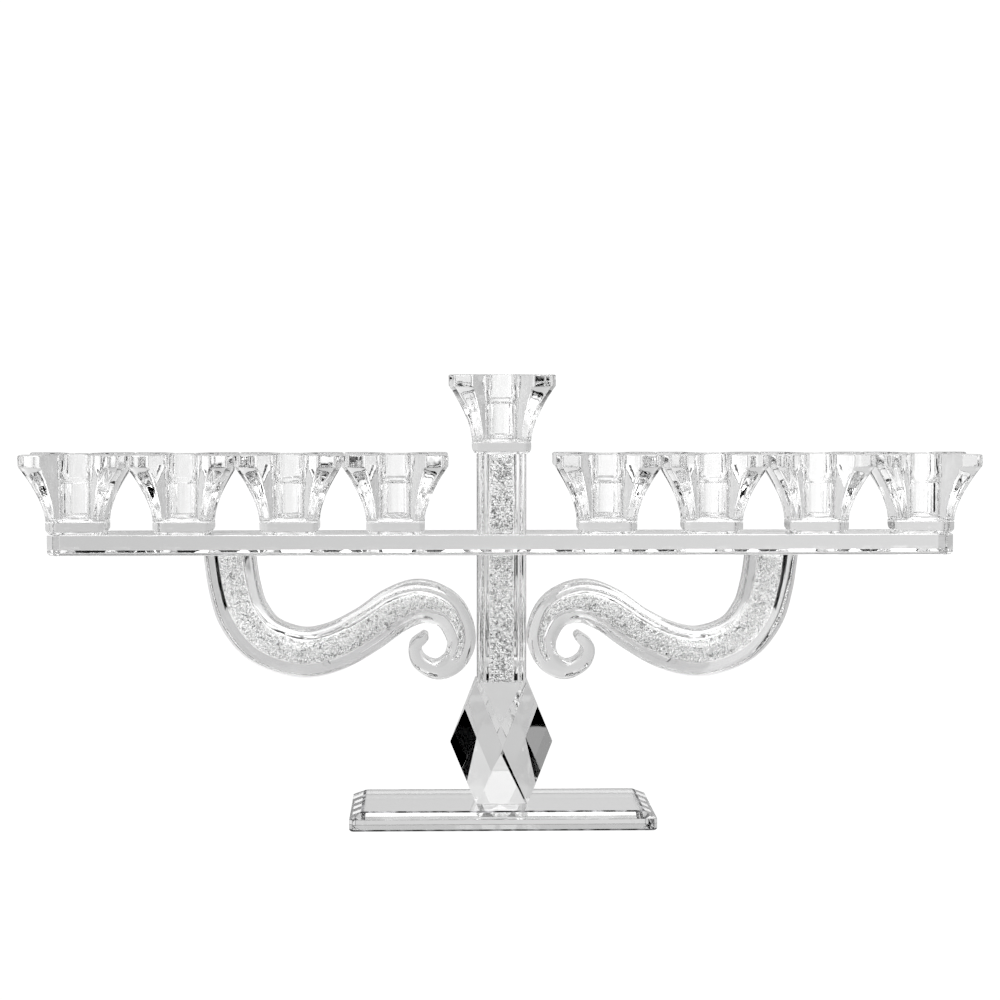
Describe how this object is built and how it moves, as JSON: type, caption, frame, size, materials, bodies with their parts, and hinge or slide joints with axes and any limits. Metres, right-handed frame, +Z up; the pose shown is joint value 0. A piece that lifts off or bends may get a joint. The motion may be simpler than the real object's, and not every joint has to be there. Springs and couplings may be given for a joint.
{
  "type": "menorah",
  "caption": "Free-standing clear crystal menorah: a long bar of flared square candle cups on a central column, a raised middle cup, scroll arms under the bar and a bevelled base.",
  "frame": {"origin": "middle of the underside of the base plate", "axes": "+X along the bar to the viewer's right, +Y to the back, +Z up"},
  "size_m": [0.4568, 0.076, 0.2145],
  "materials": {
    "cut_crystal": "clear, flat polished faces",
    "knop_crystal": "clear, faceted and polished",
    "column_crystal": "clear, polished, drilled through",
    "arm_crystal": "clear, fire polished",
    "pressed_glass": "clear pressed glass, fire polished",
    "crystal_chips": "crushed clear crystal, sparkling"
  },
  "bodies": {
    "root": {"base_plate": "cut_crystal", "candle_cup_left_1": "pressed_glass", "candle_cup_left_2": "pressed_glass", "candle_cup_left_3": "pressed_glass", "candle_cup_left_4": "pressed_glass", "candle_cup_right_1": "pressed_glass", "candle_cup_right_2": "pressed_glass", "candle_cup_right_3": "pressed_glass", "candle_cup_right_4": "pressed_glass", "crossbar": "cut_crystal", "knop": "knop_crystal", "left_arm": "arm_crystal", "left_arm_chips": "crystal_chips", "lower_column": "column_crystal", "lower_column_chips": "crystal_chips", "right_arm": "arm_crystal", "right_arm_chips": "crystal_chips", "shamash_cup": "pressed_glass", "upper_column": "column_crystal", "upper_column_chips": "crystal_chips"}
  },
  "joints": []
}
